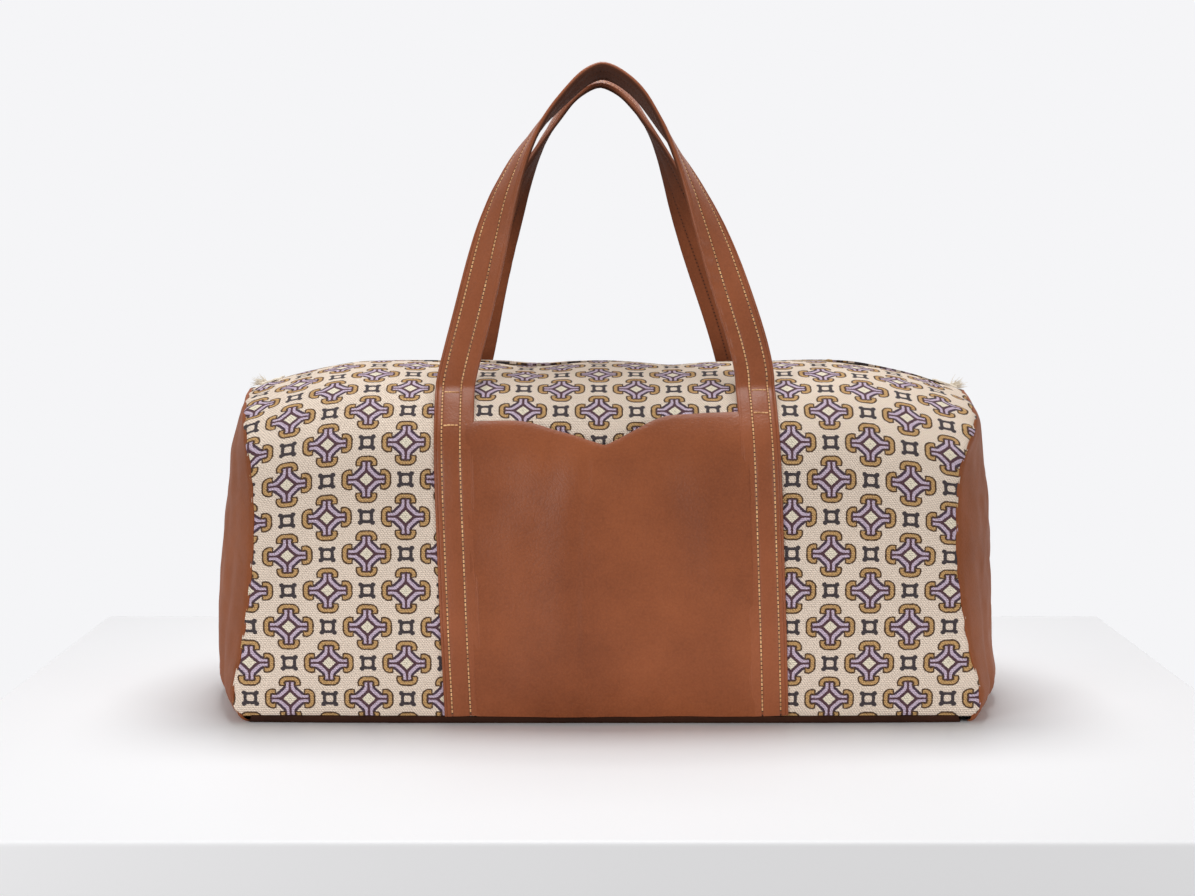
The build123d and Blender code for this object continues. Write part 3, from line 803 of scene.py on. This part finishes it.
edge_steps, under_steps = 6, 13
spots = [np.linspace(edge_radius, band_width - edge_radius, under_steps)]
spots += [line + np.array((-0.0010, -0.0005, 0.0, 0.0005, 0.0010)) for line, depth in sunk_lines]
spots = np.unique(np.round(np.concatenate(spots), 5))
spots = [float(spot) for spot in spots if edge_radius <= spot <= band_width - edge_radius]
angles = [math.pi * i / edge_steps for i in range(1, edge_steps)]
under_spots = np.linspace(band_width - edge_radius, edge_radius, under_steps + 1)
section = [(spot, 1.0) for spot in spots]
section += [(band_width - edge_radius * (1 - math.sin(angle)), math.cos(angle)) for angle in angles]
section += [(float(spot), -1.0) for spot in under_spots]
section += [(edge_radius * (1 - math.sin(angle)), -math.cos(angle)) for angle in angles]
face_width = band_width - 2 * edge_radius
edge_girth = 0.0050
section_marks = [spot - edge_radius for spot in spots]
section_marks += [face_width + edge_girth * i / edge_steps for i in range(1, edge_steps)]
section_marks += [face_width + edge_girth + face_width * i / under_steps for i in range(under_steps + 1)]
section_marks += [2 * face_width + edge_girth * (1 + i / edge_steps) for i in range(1, edge_steps + 1)]


def band_point(station, across, up):
    """Point of a station's section."""
    return station.point + station.way * (across - band_width / 2) + station.out * up


def band_place(u, v, stations, band_runs, side):
    """Corner of a band's surface."""
    index = round(v * (len(stations) - 1))
    station = stations[index]
    across, level = section[round(u * len(section)) % len(section)]
    relief = band_relief(across) + handling(across, band_runs[index], side, station.free)
    return facing(band_point(station, across, level * (station.thickness / 2 + relief)), side)


def band_mark(u, v, band_runs):
    """Place on a band: round it from the outer end of its face, and along it, in metres."""
    return section_marks[round(u * len(section))], float(band_runs[round(v * (len(band_runs) - 1))])


stitch_pitch, stitch_length, stitch_width, stitch_height = 0.00285, 0.0022, 0.0011, 0.0007
first_stitch = 0.002
handle_tones = tint(122, 64, 34), tint(156, 88, 54)
handle_leather, tree, shader = leather("handle_leather", *handle_tones, polish=-0.02, grain=0.45)
around, along = add(tree, "SeparateXYZ", {0: add(tree, "UVMap", uv_map="cloth").outputs[0]}).outputs[:2]
rows = [row_outer - edge_radius, row_inner - edge_radius]
rows += [2 * face_width + edge_girth - row for row in rows]
nearest = 1.0
for row in rows:
    nearest = calc(tree, "MINIMUM", nearest, calc(tree, "ABSOLUTE", calc(tree, "SUBTRACT", around, row)))
stitches_along = calc(tree, "DIVIDE", calc(tree, "SUBTRACT", along, first_stitch), stitch_pitch)
phase = calc(tree, "PINGPONG", stitches_along, 0.5)
# Painted shade: a small dark spot at the end of each stitch along the rows stands in for the shade inside the
# needle holes.
needle_hole_shade = calc(tree, "MULTIPLY", within(tree, phase, 0.15, 0.08), within(tree, nearest, 0.0005, 0.0003))
under_middle = 1.5 * face_width + edge_girth
band_middle = float(distances([station.point for station in band_stations(1)])[-1]) / 2
# Painted shade: the band's underside is darkened a little all along, and most near the top of the loop, where
# it faces down into shade.
from_middle = calc(tree, "ABSOLUTE", calc(tree, "SUBTRACT", around, under_middle))
underside = within(tree, from_middle, face_width / 2 + edge_girth / 2, 0.001)
colour = shader.inputs["Base Color"].links[0].from_socket
from_top = calc(tree, "ABSOLUTE", calc(tree, "SUBTRACT", along, band_middle))
crown = within(tree, from_top, 0.105, 0.07)
painted_underside_shade = calc(tree, "MULTIPLY", underside, calc(tree, "MULTIPLY_ADD", crown, 0.62, 0.25))
colour = paint(tree, painted_underside_shade, colour, tint(50, 27, 18))
# Painted shade: the leather darkens within a millimetre of each stitch row, where the sunk row lies in shade.
stitch_row_shade = calc(tree, "MULTIPLY", within(tree, nearest, 0.0008, 0.0008), 0.35)
colour = paint(tree, stitch_row_shade, colour, tint(84, 44, 26))
colour = paint(tree, needle_hole_shade, colour, tint(40, 22, 14))
tree.links.new(colour, shader.inputs["Base Color"])
polish = shader.inputs["Roughness"].links[0].from_socket
tree.links.new(calc(tree, "MULTIPLY_ADD", underside, 0.5, polish, clamp=True), shader.inputs["Roughness"])

thread, tree, shader = material("waxed_thread")
place = add(tree, "TexCoord").outputs["Object"]
twine = add(tree, "TexNoise", {"Vector": place, "Scale": 120.0, "Detail": 2.0})
# Partly painted highlight: a fine noise moves the thread between tan and a bright gold, which stands in for
# glints of light on the stitches; the rest is a random change of tone.
thread_tone_and_highlight = calc(tree, "MULTIPLY_ADD", twine.outputs["Fac"], 2.4, -0.7, clamp=True)
tree.links.new(paint(tree, thread_tone_and_highlight, tint(170, 112, 66), tint(240, 190, 132)), shader.inputs["Base Color"])
shader.inputs["Roughness"].default_value = 0.6

stitch_form = bpy.data.meshes.new("stitch_form")
bm = bmesh.new()
bmesh.ops.create_cube(bm, size=1.0)
bmesh.ops.scale(bm, vec=(stitch_length, stitch_width, stitch_height), verts=bm.verts)
bmesh.ops.bevel(bm, geom=bm.edges[:], offset=0.00022, segments=1, profile=0.5, affect="EDGES", material=-1)
bm.to_mesh(stitch_form)
bm.free()


def sewn_stitches(name, places):
    """One piece of all the stitches at these places, each a point, a way along and a way out."""
    bm = bmesh.new()
    for point, along, out in places:
        before = len(bm.verts)
        bm.from_mesh(stitch_form)
        bm.verts.ensure_lookup_table()
        along = along.normalized()
        side = out.cross(along).normalized()
        turn = Matrix((along, side, along.cross(side))).transposed().to_4x4()
        bmesh.ops.transform(bm, matrix=Matrix.Translation(point) @ turn, verts=bm.verts[before:])
    return piece(name, bm, thread)


def station_at(run, stations, band_runs):
    """Station of a band at a distance along it."""
    index = min(max(int(np.searchsorted(band_runs, run)) - 1, 0), len(stations) - 2)
    share = float((run - band_runs[index]) / (band_runs[index + 1] - band_runs[index]))
    return Station(*(first + (second - first) * share for first, second in zip(*stations[index : index + 2])))


def stitch_place(run, across, stations, band_runs, side, along_band=True):
    """Place of one stitch on a band's face."""
    station = station_at(run, stations, band_runs)
    relief = band_relief(across) + handling(across, run, side, station.free) + seat_gap
    way = station.out.cross(station.way) if along_band else station.way
    point = band_point(station, across, station.thickness / 2 + relief)
    return facing(point, side), facing(way, side), facing(station.out, side)


for name, side in (("front", 1), ("back", -1)):
    stations = band_stations(side)
    band_runs = distances([station.point for station in stations])
    band_length = float(band_runs[-1])
    place = partial(band_place, stations=stations, band_runs=band_runs, side=side)
    bm = laid(len(section), len(stations) - 1, place, partial(band_mark, band_runs=band_runs))
    bmesh.ops.remove_doubles(bm, verts=bm.verts[:], dist=0.00001)
    bmesh.ops.holes_fill(bm, edges=[edge for edge in bm.edges if edge.is_boundary])
    bmesh.ops.recalc_face_normals(bm, faces=bm.faces[:])
    band = piece(name + "_handle_band", bm, handle_leather, 60)
    places = []
    for i in range(int((band_length - 2 * first_stitch) / stitch_pitch)):
        for across in (row_outer, row_inner):
            run = first_stitch + (i + 0.5) * stitch_pitch
            places.append(stitch_place(run, across, stations, band_runs, side))
    cross_rows = [root_run - back for back in (0.006, 0.034)]
    cross_rows += [band_length - root_run + on for on in (0.004, 0.024)]
    for run in cross_rows:
        for across in np.linspace(row_outer, row_inner, 6)[1:-1]:
            places.append(stitch_place(run, float(across), stations, band_runs, side, along_band=False))
    stitches = sewn_stitches(name + "_handle_stitches", places)
    for made, slot in ((band, "leather"), (stitches, "tab_cloth")):
        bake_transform(made)
    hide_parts(name + "_handle", name + "_left_strap", name + "_right_strap")

# Zip: two woven tapes under the edges of the canvas, brass teeth, stops, slider and pull. The metal keeps the
# shapes of the source; the tapes are ribbed cloth that wavers a little between its stitches.

zip_level_half = 0.165
tape_drop = 0.0026
tape_half_length, tape_inner, tape_outer = 0.236, 0.0024, 0.0150


def tape_place(u, v, side):
    """Corner of a tape, from its outer edge to the teeth."""
    x = (2 * u - 1) * tape_half_length
    waver = 0.0002 * noise.noise(Vector((x * 60, v * 2, side * 2.0)))
    z = ridge(max(abs(x), zip_level_half)) - tape_drop + waver - 0.0002 * (1 - v)
    return facing(Vector((x, -tape_outer + v * (tape_outer - tape_inner), z)), side)


def tape_mark(u, v):
    """Place on a tape, in metres."""
    return (2 * u - 1) * tape_half_length, v * (tape_outer - tape_inner)


tape_weave, tree, shader = material("zip_tape_weave")
along, across = add(tree, "SeparateXYZ", {0: add(tree, "UVMap", uv_map="cloth").outputs[0]}).outputs[:2]
ribs = calc(tree, "PINGPONG", calc(tree, "MULTIPLY", across, 1400.0), 0.5)
bent = calc(tree, "MULTIPLY_ADD", along, 1100.0, calc(tree, "MULTIPLY", ribs, 0.8))
weave_height = calc(tree, "ADD", ribs, calc(tree, "PINGPONG", bent, 0.5), clamp=True)
# Painted shade: the tape's colour darkens where the weave height is low, between its ribs.
tree.links.new(paint(tree, weave_height, tint(58, 36, 24), tint(118, 78, 52)), shader.inputs["Base Color"])
shader.inputs["Roughness"].default_value = 0.85
emboss(tree, shader, weave_height, 0.0002, 0.7)
for name, side in (("front", 1), ("back", -1)):
    bm = laid(180, 8, partial(tape_place, side=side), tape_mark, -0.0008)
    tape = piece("woven_tape_" + name, bm, tape_weave)
    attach(tape, "bag")
    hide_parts("zip_tape_" + name)



def speckled(name, scale, detail, dark, light):
    """A material between two tones, mixed by a small noise, and that noise."""
    made, tree, shader = material(name)
    place = add(tree, "TexCoord").outputs["Object"]
    speck = add(tree, "TexNoise", {"Vector": place, "Scale": scale, "Detail": detail}).outputs["Fac"]
    tree.links.new(paint(tree, speck, dark, light), shader.inputs["Base Color"])
    return made, tree, shader, speck


brass, tree, shader, wear = speckled("old_brass", 420.0, 4.0, tint(138, 106, 62), tint(196, 166, 112))
tree.links.new(calc(tree, "MULTIPLY_ADD", wear, 0.25, 0.25), shader.inputs["Roughness"])
shader.inputs["Metallic"].default_value = 1.0
emboss(tree, shader, wear, 0.0001, 0.3)
for part in ("teeth_front", "teeth_back", "top_stops", "bottom_stop", "slider", "pull"):
    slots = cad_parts["zip_" + part].data.materials
    slots.clear()
    slots.append(brass)

# Zip ends: a scrap of raw cotton folded over each end of the zip and sewn down, its cut edge frayed into
# loose threads that stand out past the corner of the bag.

tab_starts = {1: 0.2315, -1: 0.2255}
tab_length, tab_half_width = 0.0150, 0.0084
tab_height = 0.0016
strand_count = 64


def tab_place(u, v, side):
    """Corner of a cloth tab, wavering as it follows the ridge down to its frayed end."""
    x, y = tab_starts[side] + u * tab_length, (2 * v - 1) * tab_half_width
    curl = 0.0002 * u**3 + 0.0008 * noise.noise(Vector((x * 260, y * 160, side * 4.0)))
    return facing(Vector((x, y, ridge(x) + tab_height + curl)), side)


cotton_tones = tint(206, 192, 170), tint(250, 243, 230)
raw_cotton, tree, shader, fibres = speckled("raw_cotton", 900.0, 3.0, *cotton_tones)
shader.inputs["Roughness"].default_value = 0.9
emboss(tree, shader, fibres, 0.0003, 0.7)
chance = np.random.default_rng(7)
for name, side in (("right", 1), ("left", -1)):
    bm = laid(20, 18, partial(tab_place, side=side), thickness=-0.0009)
    tab = piece("tab_cloth_" + name, bm, raw_cotton)
    half_turn = Matrix.Rotation(0 if side == 1 else math.pi, 4, "Z")
    bm = bmesh.new()
    for i in range(strand_count):
        root = facing(tab_place(1.0 - 0.25 * chance.random() ** 2, float(chance.random()), side), side)
        ahead, aside = 0.9 * chance.random() + 0.1, 1.4 * (chance.random() - 0.5)
        lie = Vector((ahead, aside, 0.7 * chance.random() - 0.1))
        for radius, tip in ((0.00028, 0.00020), (0.00020, 0.00006)):
            reach = 0.0022 + 0.0026 * float(chance.random())
            turned = Vector((0, 0, 1)).rotation_difference(lie.normalized()).to_matrix().to_4x4()
            where = half_turn @ Matrix.Translation(root + lie.normalized() * reach / 2) @ turned
            size = dict(segments=4, radius1=radius, radius2=tip, depth=reach * 1.04)
            bmesh.ops.create_cone(bm, cap_ends=True, matrix=where, **size)
            root = root + lie.normalized() * reach
            aside = 0.9 * (chance.random() - 0.5)
            lie = lie.normalized() + Vector((0.2, aside, -0.9 * chance.random() + 0.3))
    fringe = piece("tab_fringe_" + name, bm, raw_cotton)
    for made in (tab, fringe):
        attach(made, "bag")
    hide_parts("zip_end_tab_" + name)

# Lining and board: a thin cotton bag sewn in under the zip, hanging in soft folds, and a stiff grey board on
# its floor, which keeps the source's shape.

lining_ease = 0.005
lining_mouth = 0.216
lining_thickness = 0.0006
lining_floor = 0.0020
lining_squareness = 0.4
floor_share = 0.3
lining_flat = (1.30, 0.33)


def lining_place(u, v):
    """Corner of the lining: out from the middle of its floor, then up its walls."""
    angle = 2 * math.pi * u
    out = min(1.0, v / floor_share)
    up = max(0.0, (v - floor_share) / (1 - floor_share))
    z = lining_floor + (lining_mouth - lining_floor) * up
    rise = max(0.0, (z - widest_height) / (crest_height - lining_ease - widest_height))
    reach = (seam_waist - lining_ease) * (1 - rise**12) ** 0.25
    depth = (wall_depth / 2 - corner_setback - lining_ease) * math.sqrt(1 - rise**shoulder_power)
    across, along = math.cos(angle), math.sin(angle)
    fold = 1 - up * (0.010 + 0.010 * noise.noise(Vector((across * 4, along * 4, z * 5))))
    shrink = fold * (0.984 + 0.016 * smooth(up * 12)) * out
    x = reach * math.copysign(abs(across) ** lining_squareness, across)
    y = depth * math.copysign(abs(along) ** lining_squareness, along)
    return Vector((x * shrink, y * shrink, z))


def lining_mark(u, v):
    """Place on the lining, roughly in metres."""
    return u * lining_flat[0], v * 0.3


lining_cotton, tree, shader = material("lining_cotton")
along, up = add(tree, "SeparateXYZ", {0: add(tree, "UVMap", uv_map="cloth").outputs[0]}).outputs[:2]
warp = calc(tree, "PINGPONG", calc(tree, "MULTIPLY", along, 1200.0), 0.5)
weft = calc(tree, "PINGPONG", calc(tree, "MULTIPLY", up, 1200.0), 0.5)
plain_weave = calc(tree, "ADD", warp, weft, clamp=True)
# Painted shade: the cotton's colour darkens where the weave height is low, between its threads.
tone = paint(tree, plain_weave, tint(176, 158, 132), tint(214, 200, 176))
tree.links.new(tone, shader.inputs["Base Color"])
shader.inputs["Roughness"].default_value = 0.85
emboss(tree, shader, plain_weave, 0.0002, 0.5)
bm = laid(144, 60, lining_place, lining_mark)
bmesh.ops.remove_doubles(bm, verts=bm.verts[:], dist=0.00001)
bmesh.ops.solidify(bm, geom=bm.faces[:], thickness=lining_thickness)
lining = piece("cotton_lining", bm, lining_cotton)
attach(lining, "bag")
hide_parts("lining")

board_card, tree, shader, pulp = speckled("board_card", 260.0, 5.0, tint(120, 112, 100), tint(168, 160, 146))
shader.inputs["Roughness"].default_value = 0.9
emboss(tree, shader, pulp, 0.0002, 0.4)
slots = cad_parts["base_board"].data.materials
slots.clear()
slots.append(board_card)
